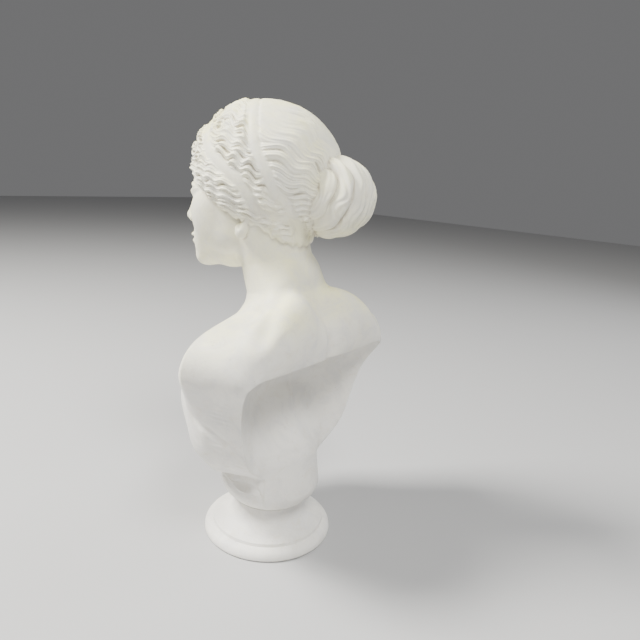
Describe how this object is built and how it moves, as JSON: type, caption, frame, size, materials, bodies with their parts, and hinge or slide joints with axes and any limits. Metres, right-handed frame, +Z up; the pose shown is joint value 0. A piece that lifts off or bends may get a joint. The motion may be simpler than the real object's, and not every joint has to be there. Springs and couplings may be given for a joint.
{
  "type": "marble bust",
  "caption": "Classical female bust of white marble with knotted hair and a scooped back, set on a turned round socle.",
  "frame": {"origin": "centre of the resting face, on the underside of the felt", "axes": "+Z up, the chest faces -Y, the sitter's left shoulder is on +X and the hollow back faces +Y"},
  "size_m": [0.3582, 0.2551, 0.611],
  "materials": {
    "bust_marble": "honed white marble, faintly cream where handled",
    "socle_marble": "honed white marble",
    "setting_compound": "matt off-white setting compound",
    "steel": "plain zinc-plated steel",
    "resin_grout": "matt polyester grout",
    "felt": "dark green wool felt"
  },
  "bodies": {
    "root": {"bust": "bust_marble", "socle": "socle_marble", "joint_bed": "setting_compound", "stud": "steel", "stud_grout": "resin_grout", "washer": "steel", "lock_washer": "steel", "nut": "steel", "felt_base": "felt"}
  },
  "joints": []
}
